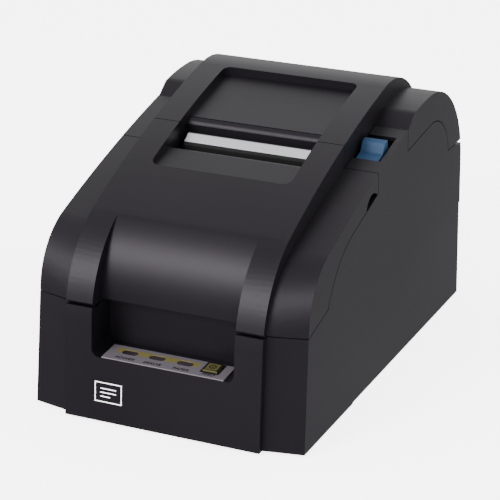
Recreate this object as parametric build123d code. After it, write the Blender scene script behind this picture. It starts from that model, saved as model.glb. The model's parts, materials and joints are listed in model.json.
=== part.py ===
from build123d import *
import math
import os

os.makedirs("parts", exist_ok=True)

# Desktop impact receipt printer. Millimetres, +Z up, front towards -Y.
# While it is built, y counts back from the foot of the side strips and z up from the
# case's lower edge. Everything is moved to the bottom centre of its box when it is written.

# ---- driving sizes ----
width = 160.0            # across the foot of the side walls
depth = 250.0            # front panel's foot to the rear face
case_top = 151.9         # top of the raised band above the case's lower edge
wall = 2.2               # moulded wall
seam = 0.5               # gap between neighbouring mouldings
foot_drop = 1.5          # how far the feet lift the case
side_lean = 2.2          # how far each side wall leans in by the top
panel_proud = 8.3        # front panel's foot ahead of the strips' outer foot
strip_width = 22.2       # side strip, from the band to the side wall's foot
rail_width = 15.9        # raised rail each side of the middle

# front of the band, its long crown and its rear fall
band_front_r = 62.0
band_front_z = 51.4
band_front_set = -4.5    # foremost point of the band's front round
band_crown_r = 610.0
band_rear_r = 48.3
band_rear_back = 66.1    # centre of the rear fall ahead of the rear face

# side strips and the domes behind them
strip_foot_bow = 4.4     # how far the strips' inner foot bows ahead of the outer foot
strip_outer_set = 6.8    # foremost point of the outer strip's round
strip_outer_r = 39.3
strip_outer_z = 63.4
strip_inner_set = 0.4
strip_inner_r = 46.5
strip_crown_r = 904.0
dome_drop = 9.6          # domes below the band's top
dome_rear_r = 54.0
dome_rise_r = 144.0
step_foot_ahead = 91.2   # foot of the dome's step ahead of the rear face
step_run = 8.0
step_drop = 9.1          # step's foot below the dome's top

# seams
seam_front_z = 63.5
skirt_rise = 6.5         # how far the skirt's lower edge climbs before its corner
skirt_corner_y = 32.5
skirt_bend_y = 68.4
skirt_depth = 11.8       # skirt's height below the strip, behind its bend
cover_split_y = 104.0    # front cover's rear end
arch_ahead = 51.2        # arch's centre ahead of the rear face
arch_front_z = 23.8      # arch's centre below the front end of that seam
arch_r = 28.0
arch_front_drop = 12.7   # rear cover's lower edge below the step's foot
rear_seam_drop = 44.7    # rear seam below the domes' top
skirt_tail_rise = 1.7    # the rear skirt's straight tail above the rear seam
notch_r = 9.6            # fingertip notch under the front cover's rear corner
notch_y = 95.7
notch_drop = 4.8         # its centre below the skirt's edge

# bulge in the middle of the front cover
bulge_foot_y = 7.8
bulge_foot_z = 64.9
bulge_r = 56.0
bulge_lean = 2.0         # lean of its lower edge, in degrees

# recess in front of the tear bar, paper slot and the rear cover's sunk panel
dip_start_y = 66.5
dip_step = (0.6, 2.2)    # run and drop of the step at its front
dip_corner = 5.0
dip_end_y = 87.5
dip_depth = 5.0          # below the rails at its end
lip_y = 92.3
lip_drop = 4.1
slot_depth = 16.3        # slot's floor below the nose
nose_y = 115.4
nose_sink = 3.9          # nose below the rails
nose_run = 2.8           # the nose's front face slopes this far ahead
nose_fall = 3.4
groove = (0.9, 0.6)      # width and depth of the line behind the nose
sunk_ahead = 76.7        # sunk panel's rear wall ahead of the rear face
sunk_depth = 4.5
sunk_corner = 4.5

# front recess and its control panel
alcove_sill_z = 36.4
alcove_back_y = 15.5
alcove_back_z = 37.8
alcove_back_lean = 1.5
alcove_corner = 4.5
label_side = 5.9         # from the rails
label_depth = 15.6
label_thick = 0.6
label_front = 0.3        # label's front edge behind the sill
label_fit = 0.1
skin = 0.02              # adhesive under the label
led_y = 9.8
led_xs = (-23.4, -7.2, 9.4)
led_size = (9.3, 4.4)
button_x = 25.6
button_size = 8.4
button_y = 9.8
button_gap = 0.35
button_proud = 1.8       # cap above the recess floor
cap_height = 3.6
panel_board_drop = 11.0  # panel board below the recess floor
led_gap = 0.4            # lamps below the lenses

# hinges
nose_r = 4.0             # front cover's pivot above its lower edge
edge_sweep = 5.2         # its lower edge is trimmed to this round about the pivot
sweep_gap = 0.25         # free of the housing, which is scooped round it
rear_nose_r = 4.4
nose_set = 0.15          # nose rounds behind the faces above them
bar_in = 0.3             # bars inside the nose rounds
pin_r = 1.5
pin_fit = 0.06
ear_r = 2.8
ear_width = 4.0
ear_side_gap = 0.4
ear_slot_ahead = 2.7     # slots in the covers open this far ahead of their pins
front_ear_in = 8.8       # front ears inside the band's side
rear_ear_out = 4.2       # rear ears outside it

# release lever
lever_out = (1.8, 15.2)  # its sides outside the band
lever_pocket_out = (0.8, 17.0)
lever_pocket_ahead = (35.9, 10.9)    # pocket's ends ahead of the step's foot
lever_pivot_set = (3.9, 8.50)   # pin behind the pocket's front and below the deck there
lever_sink = 1.2         # lever's plate below the deck
lever_tab = (8.6, 11.8, 15.5, 3.6)   # tab's foot, front and back behind the pocket's front; its height
lever_pin_r = 2.0

# side wall relief
relief_depth = 0.5
relief_foot_y = 68.0
relief_z = 60.0
relief_r = 40.0

# mechanism
mech_in = 7.8            # inner faces of the side plates inside the band's sides
plate_t = 1.5
plate_front_y = 44.0
plate_rear_y = 127.0
plate_flange = 8.0
roller_y = 119.0
roller_z = 105.5
roller_r = 6.5
roller_shaft_r = 3.0
running_gap = 0.05
gear_module = 1.0
gear_width = 5.0
roller_teeth = 24
idler_teeth = 30
pinion_teeth = 12
idler_angle = 265.0      # from the roller to the idler, seen from the right
pinion_angle = 262.0
mesh_gap = 0.1
backlash = 0.16
guide_y = 74.0
guide_z = 72.0
guide_r = 3.0
rail_y = 90.0
rail_z = 58.0
carriage_half = 14.0
belt_z = 50.0
belt_width = 4.0
belt_t = 1.2
belt_y = 62.0
pulley_r = 6.0
pulley_x = 40.0
motor_r = 13.0
feed_motor_r = 11.0
motor_shaft_r = 1.5
platen_z = (72.0, 84.0)
roll_r = 41.5
bucket_gap = 1.5
bucket_y = 179.0
bucket_z = 99.0
bucket_half = 41.5
bucket_t = 2.0

# underside and electronics
base_t = 2.0
base_gap = 0.4
chassis_foot = 0.8       # underside of the base plate
screw_inset_x = 8.0
screw_inset_y = 62.0
screw_r = 1.5
screw_head_r = 2.8
boss_r = 4.0
boss_top = 14.0
mount_hole_r = 2.2       # wall mounting holes
mount_x = 67.0
mount_ys = (80.0, 200.0)
foot_r = 7.0
foot_inset_x = 16.0
foot_inset_y = 20.0
board_z = 12.0
board_t = 1.6
board_half = 58.0
board_front_y = 150.0
board_rear_gap = 4.2
post_inset = 4.0
post_r = 3.4
# sockets in the rear face: centre across, width, height and depth
ports = {
    "interface_port": (-30.0, 36.0, 11.0, 16.0),
    "drawer_port": (12.0, 13.5, 12.0, 16.0),
    "power_inlet": (38.0, 12.5, 12.5, 14.0),
}
port_fit = 0.3

# rocker switch low on the left side
switch_y = 40.0
switch_z = 30.0
switch_size = (19.0, 12.5)
switch_proud = 0.4
switch_fit = 0.2
bezel = 1.5
bezel_in = 0.3
rocker_in = 4.5          # rocker's pivot behind the wall's face

# ---- plane geometry ----
def apart(a, b):
    return math.hypot(b[0] - a[0], b[1] - a[1])


def meet(c1, r1, c2, r2, lower=True):
    """Where two circles cross; the lower crossing, or the upper one."""
    d = apart(c1, c2)
    along = (r1 * r1 - r2 * r2 + d * d) / (2 * d)
    off = math.sqrt(r1 * r1 - along * along)
    ux, uz = (c2[0] - c1[0]) / d, (c2[1] - c1[1]) / d
    side = 1 if lower else -1
    return (c1[0] + ux * along + uz * off * side, c1[1] + uz * along - ux * off * side)


def on_line_of(a, b, r):
    """The point at distance r from a, on the line from b through a."""
    d = apart(a, b)
    return (a[0] + (a[0] - b[0]) / d * r, a[1] + (a[1] - b[1]) / d * r)


def front_tangent(p, c, r):
    """Where a line rising from p touches the front of a circle."""
    d = apart(p, c)
    turn = math.asin(r / d)
    aim = math.atan2(c[1] - p[1], c[0] - p[0]) + turn
    reach = math.sqrt(d * d - r * r)
    return (p[0] + reach * math.cos(aim), p[1] + reach * math.sin(aim))


def at_angle(c, r, degrees):
    a = math.radians(degrees)
    return (c[0] + r * math.cos(a), c[1] + r * math.sin(a))


def arc_between(c, r, a, b):
    """The short arc about c from a to b."""
    mid = ((a[0] + b[0]) / 2 - c[0], (a[1] + b[1]) / 2 - c[1])
    d = math.hypot(*mid)
    return ThreePointArc(a, (c[0] + mid[0] / d * r, c[1] + mid[1] / d * r), b)


def side_face(edges):
    """A face in the side view: sketch x is the model's y, sketch y is its z."""
    return make_face(edges)


def across(face, x0, x1):
    """Run a side-view face across the width, from x0 to x1."""
    plane = Plane(origin=(x0, 0, 0), x_dir=(0, 1, 0), z_dir=(1, 0, 0))
    return extrude(plane * face, x1 - x0)


def both_sides(shape):
    return shape + mirror(shape, Plane.YZ)


def block(x0, x1, y0, y1, z0, z1):
    return Pos((x0 + x1) / 2, (y0 + y1) / 2, (z0 + z1) / 2) * Box(x1 - x0, y1 - y0, z1 - z0)


def rod_x(r, x0, x1, y, z):
    return Pos((x0 + x1) / 2, y, z) * Rot(0, 90, 0) * Cylinder(r, x1 - x0)


def rod_y(r, x, y0, y1, z):
    return Pos(x, (y0 + y1) / 2, z) * Rot(90, 0, 0) * Cylinder(r, y1 - y0)


def rod_z(r, x, y, z0, z1):
    return Pos(x, y, (z0 + z1) / 2) * Cylinder(r, z1 - z0)


def tangent_top(p, c, r):
    """Where a line from p, in front of a circle, touches its top."""
    d = apart(p, c)
    aim = math.atan2(c[1] - p[1], c[0] - p[0]) + math.asin(r / d)
    reach = math.sqrt(d * d - r * r)
    return (p[0] + reach * math.cos(aim), p[1] + reach * math.sin(aim))


def line_hits(p, q, c, r):
    """The crossing of the line p-q with a circle's upper side that is nearest to p."""
    d = apart(p, q)
    ux, uz = (q[0] - p[0]) / d, (q[1] - p[1]) / d
    mid = (c[0] - p[0]) * ux + (c[1] - p[1]) * uz
    off = abs((c[0] - p[0]) * uz - (c[1] - p[1]) * ux)
    half_chord = math.sqrt(r * r - off * off)
    reach = min((mid - half_chord, mid + half_chord), key=abs)
    return (p[0] + ux * reach, p[1] + uz * reach)


def over(c, r, y):
    """Height of a circle's upper side at y."""
    return c[1] + math.sqrt(r * r - (y - c[0]) ** 2)


# ---- derived places ----
half = width / 2
rear_y = depth - panel_proud
band_half = half - strip_width
mid_half = band_half - rail_width
label_size = (2 * (mid_half - label_side), label_depth, label_thick)
mech_half = band_half - mech_in
front_ear_x = band_half - front_ear_in
rear_ear_x = band_half + rear_ear_out
dome_top = case_top - dome_drop
far = 600.0              # longer than anything in the object
low = -20.0              # hollows run out below the case
high = case_top + 40.0

band_front = (band_front_set + band_front_r, band_front_z)
band_rear = (rear_y - band_rear_back, case_top - band_rear_r)
band_crown = meet(band_front, band_crown_r - band_front_r, band_rear, band_crown_r - band_rear_r)

dome_rear = (rear_y - dome_rear_r, dome_top - dome_rear_r)
dome_rise = (dome_rear[0], dome_top - dome_rise_r)
step_foot = (rear_y - step_foot_ahead, dome_top - step_drop)
step_top = (step_foot[0] + step_run, over(dome_rise, dome_rise_r, step_foot[0] + step_run))

strip_outer = (strip_outer_set + strip_outer_r, strip_outer_z)
strip_crown = meet(strip_outer, strip_crown_r - strip_outer_r, step_foot, strip_crown_r)
strip_inner_y = strip_inner_set + strip_inner_r
strip_inner = (strip_inner_y, over(strip_crown, strip_crown_r - strip_inner_r, strip_inner_y))

nose_z = over(band_crown, band_crown_r, nose_y) - nose_sink
slot_z = nose_z - slot_depth
dip_end_z = over(band_crown, band_crown_r, dip_end_y) - dip_depth
sunk_y = rear_y - sunk_ahead
sunk_z = over(band_crown, band_crown_r, sunk_y) - sunk_depth
rear_seam_z = dome_top - rear_seam_drop
chassis_top = chassis_foot + base_t
middle_y = depth / 2 - panel_proud


def strip_z(y):
    return over(strip_crown, strip_crown_r, y)


lever_x = [band_half + out for out in lever_out]
lever_pocket_x = [band_half + out for out in lever_pocket_out]
lever_pocket_y = [step_foot[0] - ahead for ahead in lever_pocket_ahead]
lever_pivot = (lever_pocket_y[0] + lever_pivot_set[0], strip_z(lever_pocket_y[0]) - lever_pivot_set[1])
lever_mid = sum(lever_x) / 2

bulge = (bulge_foot_y + bulge_r * math.cos(math.radians(bulge_lean)),
         bulge_foot_z - bulge_r * math.sin(math.radians(bulge_lean)))


def find_sill():
    """Front edge of the recess floor, on the front panel's line."""
    rise = front_tangent((-panel_proud, 0), band_front, band_front_r)
    return ((rise[0] + panel_proud) * alcove_sill_z / rise[1] - panel_proud, alcove_sill_z)


sill = find_sill()


# ---- outlines of the body, seen from the side ----
def shoulder_outline(foot_y, front, front_r, inset):
    """Side strips and domes: front line, round, crown, step, dome and rear face."""
    foot = (foot_y + inset, 0)
    floor = low if inset else 0
    rise = front_tangent(foot, front, front_r - inset)
    land = on_line_of(front, strip_crown, front_r - inset)
    shift = (step_top[1] - step_foot[1], step_foot[0] - step_top[0])
    scale = inset / math.hypot(*shift)
    near = (step_foot[0] + shift[0] * scale, step_foot[1] + shift[1] * scale)
    beyond = (step_top[0] + shift[0] * scale, step_top[1] + shift[1] * scale)
    step_a = line_hits(near, beyond, strip_crown, strip_crown_r - inset)
    step_b = line_hits(beyond, near, dome_rise, dome_rise_r - inset)
    apex = (dome_rear[0], dome_top - inset)
    back = (rear_y - inset, dome_rear[1])
    edges = [
        Line(foot, rise),
        arc_between(front, front_r - inset, rise, land),
        arc_between(strip_crown, strip_crown_r - inset, land, step_a),
        Line(step_a, step_b),
        arc_between(dome_rise, dome_rise_r - inset, step_b, apex),
        arc_between(dome_rear, dome_rear_r - inset, apex, back),
        Line(back, (back[0], floor)),
        Line((back[0], floor), (foot[0], floor)),
    ]
    if inset:
        edges.append(Line((foot[0], floor), foot))
    return side_face(edges)


def band_outline(inset):
    """Raised band: front panel, front round, crown and rear fall."""
    foot = (inset - panel_proud, 0)
    floor = low if inset else 0
    rise = front_tangent(foot, band_front, band_front_r - inset)
    land = on_line_of(band_front, band_crown, band_front_r - inset)
    fall = on_line_of(band_rear, band_crown, band_rear_r - inset)
    end = (band_rear[0] + band_rear_r - inset, band_rear[1])
    edges = [
        Line(foot, rise),
        arc_between(band_front, band_front_r - inset, rise, land),
        arc_between(band_crown, band_crown_r - inset, land, fall),
        arc_between(band_rear, band_rear_r - inset, fall, end),
        Line(end, (end[0], floor)),
        Line((end[0], floor), (foot[0], floor)),
    ]
    if inset:
        edges.append(Line((foot[0], floor), foot))
    return side_face(edges)


def rear_outline(inset):
    """The domes' outline carried across under the band."""
    start = (step_top[0] + inset, over(dome_rise, dome_rise_r - inset, step_top[0] + inset))
    floor = low if inset else 0
    apex = (dome_rear[0], dome_top - inset)
    back = (rear_y - inset, dome_rear[1])
    return side_face([
        Line((start[0], floor), start),
        arc_between(dome_rise, dome_rise_r - inset, start, apex),
        arc_between(dome_rear, dome_rear_r - inset, apex, back),
        Line(back, (back[0], floor)),
        Line((back[0], floor), (start[0], floor)),
    ])


def middle_outline():
    """Between the rails: front recess, bulge, dip, paper slot and sunk panel."""
    foot = (-panel_proud, 0)
    back_foot = (alcove_back_y, alcove_back_z)
    back_top = (alcove_back_y + alcove_back_lean, bulge_foot_z)
    bulge_foot = (bulge_foot_y, bulge_foot_z)
    land = meet(band_front, band_front_r, bulge, bulge_r, lower=False)
    crest = on_line_of(band_front, band_crown, band_front_r)
    dip_start = (dip_start_y, over(band_crown, band_crown_r, dip_start_y))
    dip_floor = (dip_start_y + dip_step[0], dip_start[1] - dip_step[1])
    dip_end = (dip_end_y, dip_end_z)
    lip_foot = (lip_y, dip_end_z - lip_drop)
    lip_mid = (lip_y - 1.2, dip_end_z - 1.1)
    nose_front = (nose_y - nose_run, nose_z - nose_fall)
    nose_brow = (nose_y - nose_run * 0.6, nose_z - nose_fall * 0.36)
    sunk_edge = (sunk_y, over(band_crown, band_crown_r, sunk_y))
    fall = on_line_of(band_rear, band_crown, band_rear_r)
    end = (band_rear[0] + band_rear_r, band_rear[1])
    return side_face([
        Line(foot, sill),
        Line(sill, back_foot),
        Line(back_foot, back_top),
        Line(back_top, bulge_foot),
        arc_between(bulge, bulge_r, bulge_foot, land),
        arc_between(band_front, band_front_r, land, crest),
        arc_between(band_crown, band_crown_r, crest, dip_start),
        Line(dip_start, dip_floor),
        Line(dip_floor, dip_end),
        ThreePointArc(dip_end, lip_mid, lip_foot),
        Line(lip_foot, (lip_y, slot_z)),
        Line((lip_y, slot_z), (nose_front[0], slot_z)),
        Line((nose_front[0], slot_z), nose_front),
        ThreePointArc(nose_front, nose_brow, (nose_y, nose_z)),
        Line((nose_y, nose_z), (sunk_y, sunk_z)),
        Line((sunk_y, sunk_z), sunk_edge),
        arc_between(band_crown, band_crown_r, sunk_edge, fall),
        arc_between(band_rear, band_rear_r, fall, end),
        Line(end, (end[0], 0)),
        Line((end[0], 0), foot),
    ])


# ---- the body as one mass, solid or hollowed ----
def leaning_slab(inset):
    """Everything between the two side walls' faces, which lean in as they rise."""
    foot = half - inset
    lean = side_lean / dome_top
    top, bottom = foot - lean * high, foot - lean * low
    outline = Polyline((-bottom, low), (bottom, low), (top, high), (-top, high), close=True)
    slab = extrude(Plane.XZ * make_face(outline), far / 2, both=True)
    return slab


def shoulders(inset):
    """Both side bodies, from the band out to the side walls."""
    inner = shoulder_outline(-strip_foot_bow, strip_inner, strip_inner_r, inset)
    outer = shoulder_outline(0, strip_outer, strip_outer_r, inset)
    start = band_half - inset
    inner_plane = Plane(origin=(start, 0, 0), x_dir=(0, 1, 0), z_dir=(1, 0, 0))
    outer_plane = Plane(origin=(half - inset, 0, 0), x_dir=(0, 1, 0), z_dir=(1, 0, 0))
    right = loft([inner_plane * inner, outer_plane * outer], ruled=True)
    return both_sides(right & leaning_slab(inset))


def pocket_corners(y, r, way):
    """Fills that round a sunken pocket's corners against the rails; way is 1 if it lies behind y."""
    centre = y + way * r
    fill = block(mid_half - r, mid_half, min(y, centre), max(y, centre), low, high)
    return both_sides(fill - rod_z(r, mid_half - r, centre, low - 1, high + 1))


def solid_body():
    middle = across(middle_outline(), -mid_half, mid_half)
    rails = both_sides(across(band_outline(0), mid_half, band_half))
    rear = across(rear_outline(0), -band_half, band_half)
    corners = pocket_corners(dip_start_y, dip_corner, 1) + pocket_corners(sunk_y, sunk_corner, -1)
    corners &= across(band_outline(0), -mid_half, mid_half)
    return shoulders(0) + middle + rails + rear + corners


def hollow_body():
    """The room inside the walls."""
    middle_face = offset(middle_outline(), -wall, kind=Kind.TANGENT)
    middle = across(middle_face, -mid_half - wall, mid_half + wall)
    under = across(band_outline(wall), -band_half + wall, band_half - wall)
    under &= block(-half, half, -far, far, low, alcove_sill_z - wall)
    rails = both_sides(across(band_outline(wall), mid_half + wall, band_half - wall))
    rear = across(rear_outline(wall), -band_half - wall, band_half + wall)
    return shoulders(wall) + middle + rails + rear + under


# ---- where one moulding ends and the next begins ----
def beyond_band(face, inner):
    """A side-view face run across both side bodies, outside inner."""
    return both_sides(across(face, inner, width))


def front_region(spread):
    """The front cover's share of the shell; spread moves every edge out or in."""
    level = seam_front_z - spread
    split = cover_split_y + spread
    middle = block(-band_half, band_half, -far, split, level, high)
    corner = (skirt_corner_y, seam_front_z + skirt_rise)
    bend = (skirt_bend_y, strip_z(skirt_bend_y) - skirt_depth)
    end = (cover_split_y, strip_z(cover_split_y) - skirt_depth)
    climb = TangentArc([bend, corner], tangent=(bend[0] - end[0], bend[1] - end[1]))
    outline = make_face([
        Line((-far, seam_front_z), (strip_outer_set, seam_front_z)),
        Line((strip_outer_set, seam_front_z), corner),
        climb,
        Line(bend, end),
        Line(end, (cover_split_y, high)),
        Line((cover_split_y, high), (-far, high)),
        Line((-far, high), (-far, seam_front_z)),
    ])
    sides = offset(outline, spread, kind=Kind.INTERSECTION)
    return middle + beyond_band(sides, band_half)


def rear_region(spread, side_gap=0.0):
    """The rear cover's share: the band behind the split, the domes and arched skirts."""
    back = rear_y + far
    tail_z = rear_seam_z + skirt_tail_rise
    start = (step_foot[0] - 1.0, step_foot[1] - arch_front_drop)
    arch = (rear_y - arch_ahead, start[1] - arch_front_z)
    touch = tangent_top(start, arch, arch_r)
    tail = (arch[0] + math.sqrt(arch_r ** 2 - (tail_z - arch[1]) ** 2), tail_z)
    outline = make_face([
        Line(start, touch),
        arc_between(arch, arch_r, touch, tail),
        Line(tail, (back, tail_z)),
        Line((back, tail_z), (back, high)),
        Line((back, high), (start[0], high)),
        Line((start[0], high), start),
    ])
    sides = beyond_band(offset(outline, spread, kind=Kind.INTERSECTION), band_half)
    reach = band_half + side_gap
    middle = block(-reach, reach, cover_split_y - spread, back, rear_seam_z - spread, high)
    return middle + sides


# ---- hinges ----
front_pivot_z = seam_front_z + seam / 2 + nose_r
front_face_y = band_front[0] - math.sqrt(band_front_r ** 2 - (front_pivot_z - band_front_z) ** 2)
front_pivot = (front_face_y + nose_r + nose_set, front_pivot_z)
rear_pivot = (rear_y - rear_nose_r - nose_set, rear_seam_z + seam / 2 + rear_nose_r)


def hinge_bars(pivot, r, x0, x1, ear_x, facing):
    """Bars on a cover that carry its pins, with a slot in each for the housing's ear."""
    slot = ear_width / 2 + ear_side_gap
    clear = ear_r + ear_side_gap
    bar = rod_x(r, x0, x1, *pivot)
    edge = pivot[0] - facing * ear_slot_ahead
    room = rod_x(clear, ear_x - slot, ear_x + slot, *pivot)
    room += block(ear_x - slot, ear_x + slot, min(edge, edge + facing * far),
                  max(edge, edge + facing * far), low, pivot[1] + clear)
    return both_sides(bar), both_sides(room)


def hinge_ears(pivot, ear_x, facing, foot_z, wall_reach):
    """Ears on the housing: an eye, an arm that comes in level and a leg down to its foot."""
    x0, x1 = ear_x - ear_width / 2, ear_x + ear_width / 2
    inner, outer = pivot[0] + facing * 5.0, pivot[0] + facing * 9.0
    ear = rod_x(ear_r, x0, x1, *pivot)
    ear += block(x0, x1, min(pivot[0], outer), max(pivot[0], outer), pivot[1] - 2, pivot[1] + 2)
    ear += block(x0, x1, min(inner, outer), max(inner, outer), foot_z, pivot[1] + 2)
    wall_y = pivot[0] - facing * wall_reach
    ear += block(x0, x1, min(wall_y, outer), max(wall_y, outer), foot_z, foot_z + 4)
    ear -= rod_x(pin_r + pin_fit, x0 - 1, x1 + 1, *pivot)
    return both_sides(ear)


def hinge_pins(pivot, ear_x):
    """Steel pins pressed into the cover's bars, through the ears."""
    reach = ear_width / 2 + ear_side_gap + 2.5
    return both_sides(rod_x(pin_r, ear_x - reach, ear_x + reach, *pivot))


# ---- covers and housing ----
def soften(solid, radius, chosen):
    edges = ShapeList([e for e in solid.edges() if chosen(e)])
    return fillet(edges, radius) if edges else solid


def body_shell():
    return solid_body() - hollow_body()


def front_cover(shell):
    cover = shell & front_region(-seam / 2)
    cover -= block(-mid_half, mid_half, lip_y, cover_split_y, low, high)
    bars, room = hinge_bars(front_pivot, nose_r - bar_in, mid_half + 1.0, band_half - wall / 2,
                            front_ear_x, 1)
    edge = block(-band_half, band_half, -far, front_pivot[0], low, front_pivot[1])
    edge -= rod_x(edge_sweep, -band_half, band_half, *front_pivot)
    cover = cover - edge + (bars - room) - room
    for x in (-1, 1):
        cover -= rod_x(pin_r, x * front_ear_x - 5, x * front_ear_x + 5, *front_pivot)
    finger = rod_x(notch_r, -width, width, notch_y, strip_z(notch_y) - skirt_depth - notch_drop)
    return cover - finger


def rear_cover(shell):
    cover = shell & rear_region(-seam / 2)
    cover -= block(-mid_half, mid_half, cover_split_y - wall, nose_y - nose_run, low, high)
    cover -= block(-mid_half, mid_half, nose_y, nose_y + groove[0], nose_z - groove[1], high)
    x0, x1 = rear_ear_x - 7.0, rear_ear_x + 8.0
    bars, room = hinge_bars(rear_pivot, rear_nose_r - bar_in, x0, x1, rear_ear_x, -1)
    edge = block(-half, half, rear_pivot[0], far, low, rear_pivot[1])
    edge -= rod_x(rear_nose_r, -half, half, *rear_pivot)
    cover = cover - edge + (bars - room) - room
    for x in (-1, 1):
        cover -= rod_x(pin_r, x * rear_ear_x - 5, x * rear_ear_x + 5, *rear_pivot)
    return cover


def relief_region():
    """Lower rear field of the side walls, set in a little behind a curved line."""
    corner = (relief_foot_y, relief_z - relief_r)
    top_start = (relief_foot_y + relief_r, relief_z - 6.0)
    return make_face([
        Line((relief_foot_y, low), corner),
        ThreePointArc(corner, (relief_foot_y + 14.0, relief_z - 15.5), top_start),
        Line(top_start, (top_start[0] + 60.0, relief_z - 1.0)),
        Line((top_start[0] + 60.0, relief_z - 1.0), (rear_y + far, relief_z)),
        Line((rear_y + far, relief_z), (rear_y + far, low)),
        Line((rear_y + far, low), (relief_foot_y, low)),
    ])


def housing(shell):
    """Front wall with its recess, side walls, side decks and rear wall."""
    case = shell - front_region(seam / 2) - rear_region(seam / 2, seam)
    case &= block(-half, half, -far, far, low, high)
    case -= block(-mid_half - wall, mid_half + wall, alcove_back_y + 4.0, rear_y - wall * 2,
                  bulge_foot_z - 4.0, high)
    case -= block(-half, half, rear_pivot[0] - 5.5, far, rear_seam_z - seam / 2, high)
    case -= rod_x(edge_sweep + sweep_gap, -band_half, band_half, *front_pivot)
    case += hinge_ears(front_pivot, front_ear_x, 1, seam_front_z - 22.0, 5.2)
    case += hinge_ears(rear_pivot, rear_ear_x, -1, rear_seam_z - 22.0, 4.0)
    case -= beyond_band(relief_region(), band_half) - leaning_slab(relief_depth)
    case -= block(lever_pocket_x[0] - 1.0, lever_pocket_x[1], *lever_pocket_y,
                  strip_z(lever_pocket_y[0]) - 8.0, high)
    return case


# ---- control panel in the front recess ----
panel_rise = math.atan2(alcove_back_z - sill[1], alcove_back_y - sill[0])
panel_plane = Plane(origin=(0, *sill), x_dir=(1, 0, 0),
                    z_dir=(0, -math.sin(panel_rise), math.cos(panel_rise)))


def on_panel(shape):
    """Places a shape whose x, y, z are across, back from the sill and up from the floor."""
    return panel_plane * shape


def alcove_corners():
    """Rounds the recess floor up into its side walls."""
    r = alcove_corner
    deep = alcove_back_y - sill[0] + wall / 2
    fill = block(mid_half - r, mid_half + wall / 2, -wall, deep, -wall / 2, r)
    fill -= rod_y(r, mid_half - r, -wall * 2, deep * 2, r)
    return both_sides(on_panel(fill)) & across(band_outline(0), -band_half, band_half)


def led_hole():
    return extrude(SlotOverall(led_size[0] + label_fit, led_size[1] + label_fit), wall * 3, both=True)


def button_hole():
    side = button_size + 2 * button_gap
    return Pos(button_x, button_y, 0) * Box(side, side, wall * 6)


def panel_label():
    wide, deep, thick = label_size
    plate = Pos(0, label_front + deep / 2, thick / 2 + skin) * Box(wide, deep, thick)
    for x in led_xs:
        plate -= Pos(x, led_y, 0) * led_hole()
    return on_panel(plate - button_hole())


def led_lenses():
    lens = extrude(SlotOverall(*led_size), wall + label_size[2] - label_fit)
    return Part() + [on_panel(Pos(x, led_y, -wall) * lens) for x in led_xs]


def feed_button():
    middle = button_proud - cap_height / 2
    cap = Pos(button_x, button_y, middle) * Box(button_size, button_size, cap_height)
    cap = soften(cap, 0.4, lambda e: e.center().Z > button_proud - 0.1)
    stem = Pos(button_x, button_y, -4.0) * Box(3.0, 3.0, 5.0)
    return on_panel(cap + stem)


def panel_openings():
    """Holes through the recess floor for the lenses and the button."""
    holes = [Pos(x, led_y, 0) * led_hole() for x in led_xs] + [button_hole()]
    return Part() + [on_panel(piece) for piece in holes]


def panel_board():
    """Small board under the recess floor, with the button's switch."""
    board = Pos(0, led_y + 1.0, -panel_board_drop) * Box(66.0, 12.0, board_t)
    switch = Pos(button_x, button_y, 2.0 - panel_board_drop) * Box(6.0, 6.0, 2.6)
    top = -wall - led_gap
    leds = [Pos(x, led_y, (top - panel_board_drop) / 2) * Cylinder(1.4, top + panel_board_drop)
            for x in led_xs]
    return Part() + [on_panel(piece) for piece in [board + switch] + leds]


# ---- release lever ----
def lever_solid():
    """Plate set in the deck, with a tab that stands up behind it."""
    y0 = lever_pocket_y[0]
    foot, front, back, height = lever_tab

    def point(behind, above):
        return (y0 + behind, strip_z(y0 + behind) + above)

    outline = make_face(Polyline(
        point(0.5, -lever_sink), point(foot, -lever_sink), point(front, height), point(back, height),
        point(back + 1.7, -3.2), point(back, -4.2), point(foot, -4.4), point(0.5, -3.4), close=True))
    lever = across(outline, *lever_x)
    hub = rod_x(lever_pin_r + 2.0, lever_mid - 4, lever_mid + 4, *lever_pivot)
    hub += block(lever_mid - 4, lever_mid + 4, lever_pivot[0] - 2, lever_pivot[0] + 2,
                 lever_pivot[1], strip_z(y0) - 2.0)
    hook = block(lever_mid - 2, lever_mid + 2, lever_pivot[0] - 2, lever_pivot[0] + 2,
                 lever_pivot[1] - 16.0, lever_pivot[1])
    hook += block(lever_mid - 2, lever_mid + 2, lever_pivot[0] - 2, lever_pivot[0] + 5,
                  lever_pivot[1] - 16.0, lever_pivot[1] - 13.0)
    bore = rod_x(lever_pin_r + running_gap, lever_x[0] - 5, lever_x[1] + 5, *lever_pivot)
    return lever + hub + hook - bore


def lever_bracket():
    """Cradle under the right deck that holds the lever's pin."""
    y, z = lever_pivot
    ears = Part()
    for x in (lever_mid - 6.0, lever_mid + 6.0):
        ears += block(x - 1.0, x + 1.0, y - 4.0, y + 4.0, z - 22.0, z + 3.0)
    floor = block(lever_mid - 7.0, lever_mid + 7.0, y - 4.0, y + 12.0, z - 24.0, z - 22.0)
    wall_x = half - side_lean - wall + 0.2
    side_arm = block(lever_mid + 6.0, wall_x, y - 4.0, y + 4.0, z - 22.0, z - 16.0)
    return ears + floor + side_arm - rod_x(lever_pin_r, 0, width, y, z)


def lever_pin():
    return rod_x(lever_pin_r, lever_mid - 7.5, lever_mid + 7.5, *lever_pivot)


# ---- tear bar and paper guide ----
tear_foot = (nose_y - 12.9, nose_z - 10.1)
tear_tip = (nose_y - 7.2, nose_z - 6.5)
tear_half = mid_half - 3.4


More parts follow.
